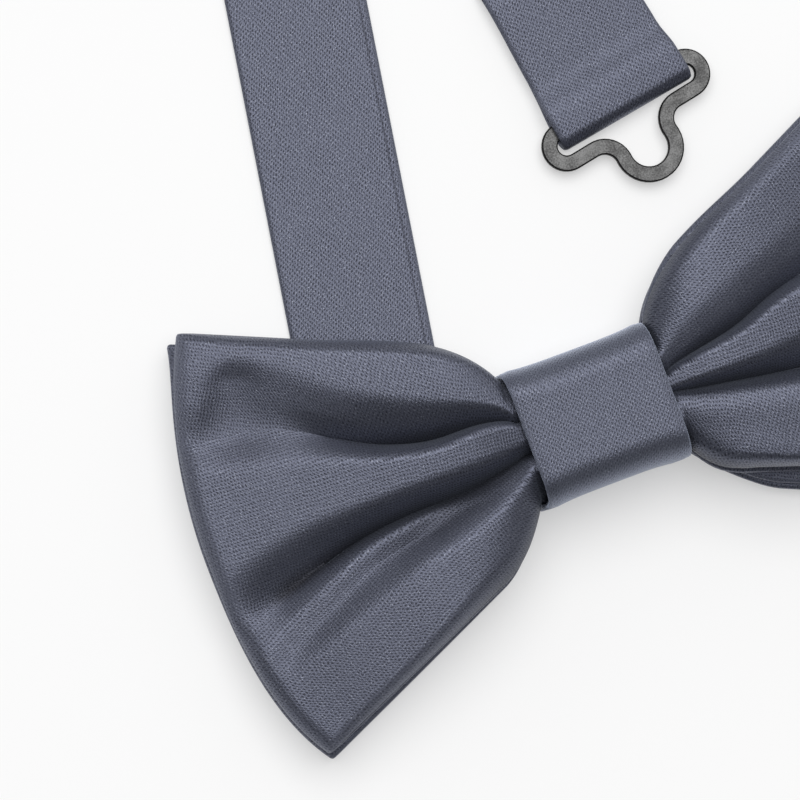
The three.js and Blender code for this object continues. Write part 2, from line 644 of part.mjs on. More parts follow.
function claspEye() {
  const disc = (radius, x, y) => wasm.CrossSection.circle(radius, ROUND).translate(x, y);
  const ears = disc(EYE.earRadius, -EYE.earOut, 0).add(disc(EYE.earRadius, EYE.earOut, 0));
  const outline = ears
    .hull()
    .add(disc(EYE.noseRadius, 0, -EYE.noseOut))
    .offset(EYE_FILLET, "Round", 2, ROUND)
    .offset(-EYE_FILLET, "Round", 2, ROUND);
  const opening = outline.offset(-EYE.ribbon, "Round", 2, ROUND);
  const body = outline.subtract(opening).simplify(0.02).extrude(EYE.thick);
  const mesh = toMesh("clasp_eye", fromSolid(body), COLOURS.steel, 0.8, 0.45);
  const down = heading(EYE_UP).negate();
  const barToFold = EYE.earRadius - EYE.ribbon - EYE_PULLED; // the bar's inner edge sits by the fold's middle
  mesh.rotation.z = EYE_UP - Math.PI / 2 + EYE_TWIST;
  mesh.position.set(EYE_END.x, EYE_END.y, CLASP_LEVEL - EYE.thick / 2).addScaledVector(down, barToFold);
  return mesh;
}

function claspHook() {
  const { thick, half, slotHalf, rail, slot } = HOOK;
  const tip = slot + rail + TONGUE.long;
  const plate = wasm.CrossSection.square([slot + 2 * rail, 2 * half]).translate(-rail, -half);
  const outer = plate.extrude(thick).translate(0, 0, -thick / 2);
  const hole = wasm.CrossSection.square([slot, 2 * slotHalf]).translate(0, -slotHalf);
  const frame = outer.subtract(hole.extrude(3 * thick).translate(0, 0, -1.5 * thick));
  const start = slot + rail / 2;
  const radius = (thick + 1.4) / 2;
  const path = [{ x: start, z: 0, turn: 0 }];
  for (let i = 0; i <= 8; i += 1) {
    const turn = (Math.PI * i) / 8;
    path.push({ x: tip - radius + radius * Math.sin(turn), z: radius * (1 - Math.cos(turn)), turn });
  }
  path.push({ x: tip - radius - TONGUE.lip, z: 2 * radius, turn: Math.PI });
  const rings = path.map(({ x, z, turn }) =>
    [[-1, -1], [1, -1], [1, 1], [-1, 1]].map(([y, h]) => {
      const up = (h * thick) / 2;
      return new THREE.Vector3(x - up * Math.sin(turn), y * TONGUE.half, z + up * Math.cos(turn));
    }),
  );
  const body = frame.add(solid(loft(rings)));
  const mesh = toMesh("clasp_hook", fromSolid(body), COLOURS.steel, 0.8, 0.45);
  mesh.position.set(HOOK_END, 0, CLASP_LEVEL);
  return mesh;
}

const bowTie = new THREE.Group();
bowTie.name = "bow_tie";
bowTie.add(bowFront(), bowBack(), knot(), neckband(), claspEye(), claspHook());

export default bowTie;
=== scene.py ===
# A pre-tied satin bow tie that lies open on a pale table, with folded cloth, sewn edges and a mottled clasp.
# Lengths are worked out in millimetres, as in the part's source, and become metres where a mesh is made.
import math

import bpy
import numpy as np
from mathutils import Matrix, Vector
from mathutils.geometry import tessellate_polygon


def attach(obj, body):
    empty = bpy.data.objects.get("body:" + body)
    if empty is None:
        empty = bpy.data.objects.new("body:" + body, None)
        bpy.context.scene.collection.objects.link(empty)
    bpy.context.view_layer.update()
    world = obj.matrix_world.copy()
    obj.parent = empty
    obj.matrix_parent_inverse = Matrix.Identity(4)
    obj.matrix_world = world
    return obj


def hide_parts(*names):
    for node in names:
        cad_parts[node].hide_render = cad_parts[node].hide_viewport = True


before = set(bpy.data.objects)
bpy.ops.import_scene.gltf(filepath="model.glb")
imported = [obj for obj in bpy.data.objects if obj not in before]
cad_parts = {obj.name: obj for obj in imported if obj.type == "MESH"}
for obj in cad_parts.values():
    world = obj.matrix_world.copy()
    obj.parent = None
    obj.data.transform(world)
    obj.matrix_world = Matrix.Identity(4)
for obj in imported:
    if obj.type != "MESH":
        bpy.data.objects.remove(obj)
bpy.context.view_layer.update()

MM = 0.001

# Sizes of the cloth. The part's source has the same ones, with its knees and edges a little simpler.
CLOTH = 1.2
BACK_CLOTH = 1.0
GAP = 0.3  # between two pieces, or two plies of one
WING = dict(root=11.7, reach=59.1, corner_reach=52.0, low_corner_reach=52.6, corner_half=32.2)
KNEE = dict(reach=17.8, half=17.3, end=21, low_end=20.5, arc=0.6)
SWELL = dict(by=0.5, over=24)  # the upper edge swells past its knee
SQUARE = dict(high=1.9, low=2.6)  # the greater, the squarer is the outer fold's corner
LOWER_SHARE = 0.993  # a wing's lower half is this share of its upper one
WAIST_HALF = 8.4
# How the right wings differ from the left ones: the rise for each millimetre out, the lower half's
# share on the upper ply and on the ply under it, and where the lower knee ends
FRONT_RIGHT = dict(lean=0.037, lower=0.885, under=0.885, knee=18.5)
BACK_RIGHT = dict(lean=-0.02, lower=0.955, under=1, knee=23.5)
STEEPEST = 2.6  # how steeply the cloth meets a crease or its edge, as a share of the even slope
STEEP_UNTIL = 0.9  # and the creases get soft by this distance out
STEEP_DROP = 0.25  # a shallower crease than this is softer
BACK_DOWN = 0.4  # the rear bow sits this much lower than the front one
BACK_TURN = 0.8  # and is turned by this many degrees
BACK_CORNER = 1.0  # its upper left corner is drawn out this far
# The heights of the plies at distances out, from 0 at the waist to 1 at the outer fold
PLIES = [
    dict(out=0.0, back_low=3.1, back_high=5.1, front_low=5.4, crown=13.2),
    dict(out=0.15, back_low=3.1, back_high=5.4, front_low=5.7, crown=14.9),
    dict(out=0.4, back_low=3.1, back_high=5.4, front_low=5.7, crown=14.9),
    dict(out=0.7, back_low=2.6, back_high=4.9, front_low=5.2, crown=12.5),
    dict(out=0.9, back_low=1.8, back_high=4.1, front_low=4.4, crown=10.4),
    dict(out=1.0, back_low=1.6, back_high=3.8, front_low=4.1, crown=9.6),
]

# The lines that the folds follow. v is a line's place across the wing at the distances of FOLD_AT,
# 1 at the upper edge and -1 at the lower one. k is its height there, from 0 on the ply behind to 1 at
# the crown.
FOLD_AT = [0.0, 0.1, 0.25, 0.4, 0.55, 0.7, 0.85, 0.95]
UPPER_EDGE = [0.3, 0.4, 0.5, 0.55, 0.58, 0.6, 0.64, 0.74]
LOWER_EDGE = [0.2, 0.3, 0.36, 0.4, 0.44, 0.48, 0.54, 0.68]
RIGHT_LOWER_EDGE = [0.3, 0.45, 0.58, 0.64, 0.66, 0.68, 0.72, 0.8]
LEFT_FOLDS = [
    dict(line="upper edge", v=[1] * 8, k=UPPER_EDGE),
    dict(
        line="upper shoulder",
        v=[0.88, 0.88, 0.88, 0.9, 0.92, 0.93, 0.95, 0.95],
        k=[0.85, 0.92, 0.96, 0.97, 0.97, 0.97, 0.97, 0.97],
    ),
    dict(
        line="upper crest",
        v=[0.54, 0.53, 0.58, 0.66, 0.76, 0.87, 0.91, 0.86],
        k=[0.97, 1, 1, 1, 1, 1, 1, 1],
    ),
    dict(
        line="upper flank",
        v=[0.45, 0.43, 0.42, 0.47, 0.56, 0.7, 0.78, 0.68],
        k=[0.86, 0.86, 0.82, 0.78, 0.8, 0.84, 0.72, 0.9],
    ),
    dict(
        line="upper crease",
        v=[0.34, 0.29, 0.24, 0.295, 0.41, 0.5, 0.52, 0.5],
        k=[0, 0, 0.06, 0.24, 0.42, 0.62, 0.45, 0.62],
    ),
    dict(
        line="middle crest",
        v=[0.22, 0.2, 0.15, 0.18, 0.25, 0.3, 0.32, 0.34],
        k=[0.97, 0.98, 0.98, 0.98, 0.97, 0.97, 0.98, 1],
    ),
    dict(
        line="middle shoulder",
        v=[0.02, 0.01, 0.01, 0.01, 0.01, 0.01, -0.02, -0.05],
        k=[0.97, 0.975, 0.97, 0.96, 0.95, 0.955, 0.97, 1],
    ),
    dict(
        line="lower crease",
        v=[-0.22, -0.2, -0.21, -0.19, -0.2, -0.24, -0.28, -0.3],
        k=[0, 0, 0, 0.02, 0.04, 0.08, 0.12, 0.45],
    ),
    dict(
        line="small crest",
        v=[-0.34, -0.31, -0.275, -0.26, -0.28, -0.35, -0.42, -0.48],
        k=[0.6, 0.55, 0.42, 0.5, 0.56, 0.62, 0.7, 0.92],
    ),
    dict(
        line="small crease",
        v=[-0.42, -0.39, -0.35, -0.35, -0.37, -0.44, -0.5, -0.56],
        k=[0.82, 0.76, 0.54, 0.46, 0.5, 0.56, 0.68, 0.9],
    ),
    dict(
        line="lower crest",
        v=[-0.52, -0.52, -0.56, -0.55, -0.58, -0.6, -0.63, -0.66],
        k=[1, 1, 1, 1, 1, 1, 1, 1],
    ),
    dict(
        line="lower shoulder",
        v=[-0.66, -0.69, -0.79, -0.87, -0.91, -0.93, -0.94, -0.95],
        k=[0.88, 0.9, 0.94, 0.96, 0.96, 0.96, 0.96, 0.97],
    ),
    dict(line="lower edge", v=[-1] * 8, k=LOWER_EDGE),
]
RIGHT_FOLDS = [
    dict(line="upper edge", v=[1] * 8, k=UPPER_EDGE),
    dict(
        line="upper shoulder",
        v=[0.85, 0.86, 0.88, 0.9, 0.9, 0.9, 0.9, 0.9],
        k=[0.75, 0.86, 0.94, 0.96, 0.97, 0.97, 0.97, 0.97],
    ),
    dict(
        line="upper crest",
        v=[0.56, 0.58, 0.6, 0.62, 0.64, 0.66, 0.7, 0.72],
        k=[1, 1, 1, 1, 1, 1, 1, 1],
    ),
    dict(
        line="upper flank",
        v=[0.4, 0.4, 0.41, 0.46, 0.48, 0.5, 0.52, 0.54],
        k=[0.84, 0.84, 0.84, 0.84, 0.86, 0.9, 0.94, 0.98],
    ),
    dict(
        line="upper crease",
        v=[0.22, 0.2, 0.22, 0.3, 0.33, 0.34, 0.35, 0.36],
        k=[0, 0.02, 0.1, 0.24, 0.38, 0.52, 0.68, 0.88],
    ),
    dict(
        line="middle crest",
        v=[0.15, 0.14, 0.15, 0.22, 0.24, 0.24, 0.24, 0.24],
        k=[0.96, 0.97, 0.98, 0.97, 0.96, 0.96, 0.97, 0.98],
    ),
    dict(
        line="middle shoulder",
        v=[0.04, 0.02, 0, 0.02, 0.03, 0.03, 0.03, 0.02],
        k=[0.95, 0.965, 0.975, 0.98, 0.98, 0.98, 0.98, 1],
    ),
    dict(
        line="lower crease",
        v=[-0.08, -0.13, -0.2, -0.245, -0.27, -0.3, -0.32, -0.34],
        k=[0, 0.02, 0.12, 0.3, 0.46, 0.6, 0.74, 0.9],
    ),
    dict(
        line="lower rise",
        v=[-0.22, -0.28, -0.36, -0.4, -0.43, -0.46, -0.48, -0.49],
        k=[0.93, 0.95, 0.96, 0.97, 0.97, 0.97, 0.98, 1],
    ),
    dict(
        line="lower crest",
        v=[-0.36, -0.4, -0.48, -0.52, -0.55, -0.58, -0.6, -0.6],
        k=[1, 1, 1, 1, 1, 1, 1, 1],
    ),
    dict(
        line="lower swell",
        v=[-0.54, -0.6, -0.68, -0.74, -0.76, -0.78, -0.8, -0.8],
        k=[0.96, 0.97, 0.98, 0.98, 0.99, 0.99, 0.99, 1],
    ),
    dict(
        line="lower shoulder",
        v=[-0.76, -0.84, -0.91, -0.94, -0.95, -0.955, -0.96, -0.96],
        k=[0.84, 0.92, 0.95, 0.96, 0.97, 0.97, 0.97, 0.97],
    ),
    dict(line="lower edge", v=[-1] * 8, k=RIGHT_LOWER_EDGE),
]


def smooth(t):
    t = np.clip(t, 0.0, 1.0)
    return t * t * (3 - 2 * t)


def mix(a, b, t):
    return a + (b - a) * t


def through(xs, ys):
    """A smooth curve through points, as a function of x."""
    xs = np.asarray(xs, float)
    ys = np.asarray(ys, float)
    slopes = np.diff(ys) / np.diff(xs)
    tangents = np.concatenate([slopes[:1], (slopes[:-1] + slopes[1:]) / 2, slopes[-1:]])

    def at(x):
        x = np.asarray(x, float)
        i = np.clip(np.searchsorted(xs, x, side="right") - 1, 0, len(xs) - 2)
        span = xs[i + 1] - xs[i]
        t = np.clip((x - xs[i]) / span, 0, 1)
        return (
            (2 * t**3 - 3 * t**2 + 1) * ys[i]
            + (t**3 - 2 * t**2 + t) * span * tangents[i]
            + (3 * t**2 - 2 * t**3) * ys[i + 1]
            + (t**3 - t**2) * span * tangents[i + 1]
        )

    return at


def ply(key):
    return through([row["out"] for row in PLIES], [row[key] for row in PLIES])


crown = ply("crown")
front_low = ply("front_low")
back_high = ply("back_high")
back_low = ply("back_low")


def lowest_front(out):
    return np.minimum(front_low(out) + 2 * CLOTH + GAP, crown(out))


def half_height(x, v, low_knee=KNEE["low_end"]):
    """Half the wing's height at a distance x from the bow's middle.

    The upper half leaves the knot steeply.
    """
    slope = (WING["corner_half"] - KNEE["half"]) / (WING["corner_reach"] - KNEE["reach"])
    root = WING["root"]
    straight = KNEE["half"] + slope * (x - KNEE["reach"])
    at_root = KNEE["half"] + slope * (root - KNEE["reach"])
    knee = np.where(v < 0, low_knee, KNEE["end"])
    past = np.clip((x - root) / (knee - root), 0, 1)
    arc = np.sin(math.pi / 2 * past) ** np.where(v < 0, 1, KNEE["arc"])
    half = straight - (at_root - WAIST_HALF) * (1 - arc)
    half = np.where(x <= root, WAIST_HALF, half)
    swell = SWELL["by"] * np.sin(math.pi * np.clip((x - root) / SWELL["over"], 0, 1)) ** 2
    half = half + np.where(v > 0, swell, 0)
    return half * np.where(v < 0, mix(1, LOWER_SHARE, smooth(past)), 1.0)


def distance(out, v):
    corner = np.where(v < 0, WING["low_corner_reach"], WING["corner_reach"])
    pulled_in = np.abs(v) ** np.where(v < 0, SQUARE["low"], SQUARE["high"])
    return mix(WING["root"], mix(WING["reach"], corner, pulled_in), out)


def fold_height(folds, out, v):
    """The height of the front cloth, 0 to 1, at a distance out and the places v across it.

    It runs level over a crest and evenly past a flank. It meets a crease steeply near the knot and
    softly further out.
    """
    lines = folds[::-1]
    at_v = np.array([through(FOLD_AT, row["v"])(out) for row in lines])
    at_k = np.array([through(FOLD_AT, row["k"])(out) for row in lines])
    slopes = np.diff(at_k) / np.diff(at_v)
    before = slopes[:-1]
    after = slopes[1:]
    level = before * after <= 0
    even = np.where(level, 0, 2 * before * after / np.where(level, 1, before + after))
    drops = np.minimum(at_k[:-2], at_k[2:]) - at_k[1:-1]
    steep = STEEPEST * (1 - smooth(out / STEEP_UNTIL)) * smooth(drops / STEEP_DROP)
    crease = level & (before < 0)
    starts = np.concatenate([[STEEPEST * slopes[0]], np.where(crease, steep * after, even)])
    ends = np.concatenate([np.where(crease, steep * before, even), [STEEPEST * slopes[-1]]])
    i = np.clip(np.searchsorted(at_v, v, side="right") - 1, 0, len(lines) - 2)
    span = at_v[i + 1] - at_v[i]
    t = np.clip((v - at_v[i]) / span, 0, 1)
    return (
        (2 * t**3 - 3 * t**2 + 1) * at_k[i]
        + (t**3 - 2 * t**2 + t) * span * starts[i]
        + (3 * t**2 - 2 * t**3) * at_k[i + 1]
        + (t**3 - t**2) * span * ends[i]
    )


def make_mesh(name, points, faces, extras):
    """A mesh object from points in millimetres.

    extras holds more values for each point: (name, type, values).
    """
    mesh = bpy.data.meshes.new(name)
    mesh.from_pydata([tuple(p) for p in np.asarray(points) * MM], [], [tuple(f) for f in faces])
    mesh.validate()
    for label, kind, values in extras:
        layer = mesh.attributes.new(label, kind, "POINT")
        layer.data.foreach_set("vector", np.asarray(values, np.float32).ravel())
    mesh.polygons.foreach_set("use_smooth", [True] * len(mesh.polygons))
    obj = bpy.data.objects.new(name, mesh)
    bpy.context.scene.collection.objects.link(obj)
    return obj


def unit(vectors):
    return vectors / np.maximum(np.linalg.norm(vectors, axis=-1, keepdims=True), 1e-9)


def along_rows(grid, ring):
    """The step from row to row of a grid of points. ring says that the rows come round to their start."""
    if ring:
        return np.roll(grid, -1, 0) - np.roll(grid, 1, 0)
    return np.gradient(grid, axis=0)


def grid_normals(grid, ring):
    return unit(np.cross(along_rows(grid, ring), np.gradient(grid, axis=1)))


def grid_lengths(grid):
    """The place of each grid point on the flat cloth, in millimetres."""
    along = np.linalg.norm(np.diff(grid, axis=0), axis=2)
    across = np.linalg.norm(np.diff(grid, axis=1), axis=2)
    middle = along[:, grid.shape[1] // 2]
    u = np.concatenate([[0], np.cumsum(middle)])
    v = np.concatenate([np.zeros((grid.shape[0], 1)), np.cumsum(across, axis=1)], axis=1)
    v = v - v[:, -1:] / 2
    return np.stack([np.repeat(u[:, None], grid.shape[1], 1), v], axis=2)


def shine_ways(grid, ring, angles):
    """The way across the threads at each grid point.

    It lies at the given angles from the first way along the grid.
    """
    first = unit(along_rows(grid, ring))
    second = unit(np.cross(grid_normals(grid, ring), first))
    angles = np.radians(angles)[..., None]
    return first * np.cos(angles) + second * np.sin(angles)


ROUND_ANGLES = [math.pi * s / 4 for s in (1, 2, 3)]  # round the edge of a sheet
OUTSIDE = -9.0  # far outside a panel, in millimetres


def cloth_shell(name, grid, wall, ring=False, outside=1, place=None, panel_and_shade=None, angles=0.0):
    """A sheet of cloth from a grid of its middle, rounded at both sides. Rows run along it.

    wall is its thickness, either one number or one for each column.
    """
    rows, columns = grid.shape[:2]
    normal = grid_normals(grid, ring) * outside
    if place is None:
        place = grid_lengths(grid)
    if panel_and_shade is None:
        panel_and_shade = np.full((rows, columns, 3), [OUTSIDE, OUTSIDE, 0.0])
    shine = shine_ways(grid, ring, np.broadcast_to(angles, (rows, columns)))
    half_wall = np.broadcast_to(wall, columns) / 2
    near = unit(grid[:, 1] - grid[:, 0])
    far = unit(grid[:, -1] - grid[:, -2])
    strips = []
    flat = []
    columns_used = []

    def strip(j, points, shift=0.0):
        strips.append(points)
        flat.append(place[:, j] + [0, shift])
        columns_used.append(j)

    for j in range(columns):
        strip(j, grid[:, j] + normal[:, j] * half_wall[j])
    for angle in ROUND_ANGLES:
        rounded = normal[:, -1] * math.cos(angle) + far * math.sin(angle)
        strip(-1, grid[:, -1] + rounded * half_wall[-1], half_wall[-1] * angle)
    for j in range(columns - 1, -1, -1):
        strip(j, grid[:, j] - normal[:, j] * half_wall[j])
    for angle in ROUND_ANGLES:
        rounded = -normal[:, 0] * math.cos(angle) - near * math.sin(angle)
        strip(0, grid[:, 0] + rounded * half_wall[0], -half_wall[0] * angle)
    around = len(strips)
    extras = [
        ("weave", "FLOAT2", np.stack(flat, axis=1)),
        ("panel_and_shade", "FLOAT_VECTOR", panel_and_shade[:, columns_used]),
        ("shine", "FLOAT_VECTOR", shine[:, columns_used]),
    ]
    faces = []
    spans = rows if ring else rows - 1
    for i in range(spans):
        a = i * around
        b = ((i + 1) % rows) * around
        for j in range(around):
            k = (j + 1) % around
            faces.append((a + j, b + j, b + k, a + k))
    if not ring:
        faces.append(tuple(range(around)))
        faces.append(tuple((rows - 1) * around + j for j in range(around - 1, -1, -1)))
    return make_mesh(name, np.stack(strips, axis=1).reshape(-1, 3), faces, extras)


# Wings

CLOSE = 0.3  # the rows are closer together from the knot to this distance out
FOLD_FROM = 0.955  # where the cloth starts to turn round the outer fold
OUTS = np.concatenate([np.linspace(0, CLOSE, 34)[:-1], np.linspace(CLOSE, FOLD_FROM, 60)])
FOLD_STEPS = 12
STEPS_ACROSS = 10  # columns between two fold lines
SPREAD = 0.2  # the plies differ in height from this distance out


def column_places(folds, out):
    """The places across a wing where its cloth has a column, so that the columns follow the folds."""
    lines = [float(through(FOLD_AT, row["v"])(out)) for row in folds[::-1]]
    places = [np.linspace(a, b, STEPS_ACROSS + 1)[:-1] for a, b in zip(lines, lines[1:])]
    return np.concatenate([*places, [1.0]])


def line_places(folds, line):
    return next(row["v"] for row in folds if row["line"] == line)


def panel_edges(folds):
    return dict(upper=line_places(folds, "upper crease"), lower=line_places(folds, "lower crease"))


# The cloth fans out, so its threads are turned above the upper crease and below the lower one
PANELS = dict(left=panel_edges(LEFT_FOLDS), right=panel_edges(RIGHT_FOLDS))
PANEL_TURN = 21.5  # degrees
PANEL_BLEND = 6  # the turn of the shine changes over this many millimetres
CORNER_SHARP = 8  # the greater, the nearer to the corner is what is drawn out
# Painted shade darkens the wing's cloth deep in its folds, below the heights given here
CREASE_SHADE_BELOW = dict(near=1.05, far=0.3)  # little light gets below this height in a fold
WING_THREADS = -35.8  # the way across the threads, in degrees from the bow's length
KNOT_THREADS = 83.8
STRAP_THREADS = 77.7


def wing_rows(side, folds, top, bottom, spill_top, spill_bottom, right=None, corner=0.0):
    """Rows of points from the waist out along the upper ply, round the outer fold and back below.

    Each row comes with the places of its points across the wing and its distance out. spill_top and
    spill_bottom are what the two plies add to the wing's half height. corner is how far the upper corner
    is drawn out.
    """
    rows = []
    low_knee = right["knee"] if right else KNEE["low_end"]

    def row(out, z, under):
        v = column_places(folds, out)
        x = distance(out, v) + corner * out * np.clip(v, 0, 1) ** CORNER_SHARP
        spill = mix(spill_top, spill_bottom, under)
        y = v * (half_height(x, v, low_knee) + spill * smooth(out / SPREAD))
        if right:
            past = smooth((x - WING["root"]) / (KNEE["reach"] - WING["root"]))
            lower = mix(1, mix(right["lower"], right["under"], under), past)
            y = y * np.where(v < 0, lower, 1.0) + right["lean"] * (x - WING["root"])
        rows.append((np.stack([side * x, y, z], axis=1), v, out))

    for out in OUTS:
        row(out, top(out, column_places(folds, out)), 0)
    last = OUTS[-1]
    a = top(last, column_places(folds, last))
    b = bottom(last, column_places(folds, last))
    for s in np.linspace(0, 1, FOLD_STEPS + 1)[1:-1]:
        angle = math.pi * s
        out = last + (1 - last) * math.sin(angle)
        row(out, (a + b) / 2 + (a - b) / 2 * math.cos(angle), s)
    for out in OUTS[::-2]:
        row(out, bottom(out, column_places(folds, out)), 1)
    return rows


def band(name, tops, bottom, wall, spills, right, corner=0.0, shade_creases=False):
    """A bow from its left and right upper plies and its lower ply, and its length round."""
    left_rows = wing_rows(-1, LEFT_FOLDS, tops[0], bottom, *spills, corner=corner)
    right_rows = wing_rows(1, RIGHT_FOLDS, tops[1], bottom, *spills, right)
    rows = left_rows + right_rows[::-1]
    grid = np.array([points for points, _, _ in rows])
    place, panel_and_shade, angles = bow_weave(grid, rows, len(left_rows), shade_creases)
    looks = dict(place=place, panel_and_shade=panel_and_shade, angles=angles)
    return cloth_shell(name, grid, wall, ring=True, outside=-1, **looks), ring_length(grid)


def bow_weave(grid, rows, left_count, shade_creases):
    """Each point's place on the flat cloth, its panel values, and the turn of its threads.

    The first two of these values are how far it lies inside the two turned panels; the third is how
    much painted shade it gets deep in a crease, from 0 to 1.
    """
    across = grid_lengths(grid)[..., 1]
    along = -grid[..., 0]
    steps = np.linalg.norm(np.diff(grid, axis=0), axis=2)
    for i in range(len(OUTS), left_count):
        along[i] = along[i - 1] + steps[i - 1]
    for i in range(len(grid) - len(OUTS) - 1, left_count - 1, -1):
        along[i] = along[i + 1] - steps[i]
    panel_and_shade = np.zeros((*across.shape, 3))
    for i, (_, v, out) in enumerate(rows):
        across[i] -= np.interp(0.0, v, across[i])
        left = i < left_count
        creases = PANELS["left" if left else "right"]
        half = half_height(distance(out, v), v)
        above = (v - through(FOLD_AT, creases["upper"])(out)) * half
        below = (through(FOLD_AT, creases["lower"])(out) - v) * half
        crease_shade = np.zeros(len(v))
        # The front bow's upper plies get painted shade deep in their creases
        if shade_creases and (i < len(OUTS) or i >= len(grid) - len(OUTS)):
            dim = mix(CREASE_SHADE_BELOW["near"], CREASE_SHADE_BELOW["far"], smooth(out))
            folds = LEFT_FOLDS if left else RIGHT_FOLDS
            crease_shade = 1 - smooth(fold_height(folds, out, v) / dim)
        panel_and_shade[i] = np.stack([above, below, crease_shade] if left else [below, above, crease_shade], axis=1)
    turned = smooth(panel_and_shade / PANEL_BLEND + 0.5)
    angles = WING_THREADS + PANEL_TURN * (turned[..., 0] - turned[..., 1])
    return np.stack([along, across], axis=2), panel_and_shade, angles


def ring_length(grid):
    """The cloth's length round a ring of rows, along its middle."""
    middle = grid[:, grid.shape[1] // 2]
    return np.linalg.norm(np.roll(middle, -1, 0) - middle, axis=1).sum()


def front_top(folds):
    def at(out, v):
        return mix(lowest_front(out), crown(out), fold_height(folds, out, v)) - CLOTH / 2

    return at


def level_ply(height, wall, up):
    def at(out, v):
        return np.full(len(v), float(height(out)) + up * wall / 2)

    return at


bow_front, front_length = band(
    "bow_front_cloth",
    [front_top(LEFT_FOLDS), front_top(RIGHT_FOLDS)],
    level_ply(front_low, CLOTH, 1),
    CLOTH,
    spills=(-1.0, -0.5),
    right=FRONT_RIGHT,
    # its creases get painted shade
    shade_creases=True,
)
bow_back, back_length = band(
    "bow_back_cloth",
    [level_ply(back_high, BACK_CLOTH, -1)] * 2,
    level_ply(back_low, BACK_CLOTH, 1),
    BACK_CLOTH,
    spills=(-0.8, -0.8),
    right=BACK_RIGHT,
    corner=BACK_CORNER,
)
back_lowered = Matrix.Translation((0, -BACK_DOWN * MM, 0))
bow_back.data.transform(back_lowered @ Matrix.Rotation(math.radians(BACK_TURN), 4, "Z"))

# Knot

KNOT = dict(half=11.4, half_height=10.1, flare=0.5, top=14.8, front=4.6, back=2.6)
KNOT_EDGE = dict(wall=0.7, over=0.1)  # its cloth thins over this share of its half width


def rounded_section(wide, low, high, front, back, steps):
    """Points round the knot's section, from the middle of its back."""
    corners = [
        (wide - back, low + back, back, -math.pi / 2),
        (wide - front, high - front, front, 0.0),
        (-wide + front, high - front, front, math.pi / 2),
        (-wide + back, low + back, back, math.pi),
    ]
    points = [(0.0, low)]
    for y, z, r, start in corners:
        for s in range(steps + 1):
            a = start + math.pi / 2 * s / steps
            points.append((y + r * math.cos(a), z + r * math.sin(a)))
    points.append((0.0, low))
    return np.array(points)


def even_points(path, count):
    """A closed path walked in even steps."""
    gone = np.concatenate([[0], np.cumsum(np.linalg.norm(np.diff(path, axis=0), axis=1))])
    at = np.linspace(0, gone[-1], count + 1)[:-1]
    return np.stack([np.interp(at, gone, path[:, i]) for i in range(2)], axis=1)


def knot_mesh():
    rows = 150
    inset = CLOTH / 2
    across = np.linspace(-1, 1, 61)
    grid = np.zeros((rows, len(across), 3))
    for j, s in enumerate(across):
        wide = KNOT["half_height"] + KNOT["flare"] * s**4 - inset
        front = KNOT["front"] - inset
        back = KNOT["back"] - inset
        path = rounded_section(wide, inset, KNOT["top"] - inset, front, back, 12)
        grid[:, j, 0] = s * (KNOT["half"] - inset)
        grid[:, j, 1:] = even_points(path, rows)
    to_edge = (np.abs(across) - 1) / KNOT_EDGE["over"] + 1
    wall = mix(CLOTH, KNOT_EDGE["wall"], smooth(to_edge))
    return cloth_shell("knot_band", grid, wall, ring=True, angles=KNOT_THREADS), ring_length(grid)


knot, knot_length = knot_mesh()

# Neckband

# LEVEL, OPEN, CLOSED and OVER_TURN are the heights of the strap's middle: on the table, round a clasp's
# bar, on a folded end and over the turn behind the left wing. IN_KNOT is its width where it is gathered.
STRAP = dict(width=20.6, thick=1.2, turn_radius=0.8, end_radius=1.3)
LEVEL = STRAP["thick"] / 2
OPEN = LEVEL + 2 * STRAP["end_radius"]
CLOSED = LEVEL + STRAP["thick"] + GAP
OVER_TURN = LEVEL + 2 * STRAP["turn_radius"]
HOOK_END = 80
FLAP = dict(hook=13, eye=20, taper=0.07)
WIDTH = STRAP["width"]
IN_KNOT = 15.8
HOOK_RUN = dict(
    x=[-30, -20, -11, 11, 20, 61, 66, 72, 77, HOOK_END],
    level=[OVER_TURN, OVER_TURN, OVER_TURN, OVER_TURN, LEVEL, LEVEL, CLOSED, CLOSED, OPEN, OPEN],
    width=[WIDTH, WIDTH, IN_KNOT, IN_KNOT, WIDTH, WIDTH, WIDTH, WIDTH, WIDTH, WIDTH],
)
TURN = (-30.3, 0)  # the middle of the slanted fold behind the left wing
UP = math.radians(80.4)
LONG_SIDE = 76  # the leg above it runs straight this far
EYE_END = (21.7, 41.6)
EYE_UP = math.radians(100.0)
EYE_SIDE = 21  # and the leg with the eye this far
EYE_RUN = dict(
    gone=[0, 3.2, 8, 21.5, 28, 200],
    level=[OPEN, OPEN, CLOSED, CLOSED, LEVEL, LEVEL],
    width=[22.2, 22.1, 21.4, WIDTH, WIDTH, WIDTH],
)
APEX = dict(x=-1, y=178, handle=27)  # the top of the far bend, and how broad the bend is there
BEND_HANDLE = dict(long=45, eye=60)
ROLL = (4, 82)  # the strap rolls on to its edge between these lengths along the bend
UPWARD = np.array([0.0, 0.0, 1.0])


def heading(angle):
    return np.array([math.cos(angle), math.sin(angle), 0.0])


def left_of(along):
    return np.array([-along[1], along[0], 0.0])


def eased(xs, ys):
    """A value eased from point to point, level at each."""

    def at(x):
        i = int(np.clip(np.searchsorted(xs, x, side="left"), 1, len(xs) - 1))
        return mix(ys[i - 1], ys[i], float(smooth((x - xs[i - 1]) / (xs[i] - xs[i - 1]))))

    return at


def fold_round(at, along, low, radius, steps, rising, edge, width=WIDTH):
    """Sections of the strap round a half turn at a place, which bulges along a way.

    rising says that they go from below to above, and edge is 1 or -1 for which edge comes first.
    """
    across = left_of(along) * edge
    made = []
    for i in range(steps + 1):
        turn = math.pi * (i if rising else steps - i) / steps
        middle = np.array([at[0], at[1], low + radius * (1 - math.cos(turn))])
        made.append((middle + along * radius * math.sin(turn), across, width))
    return made


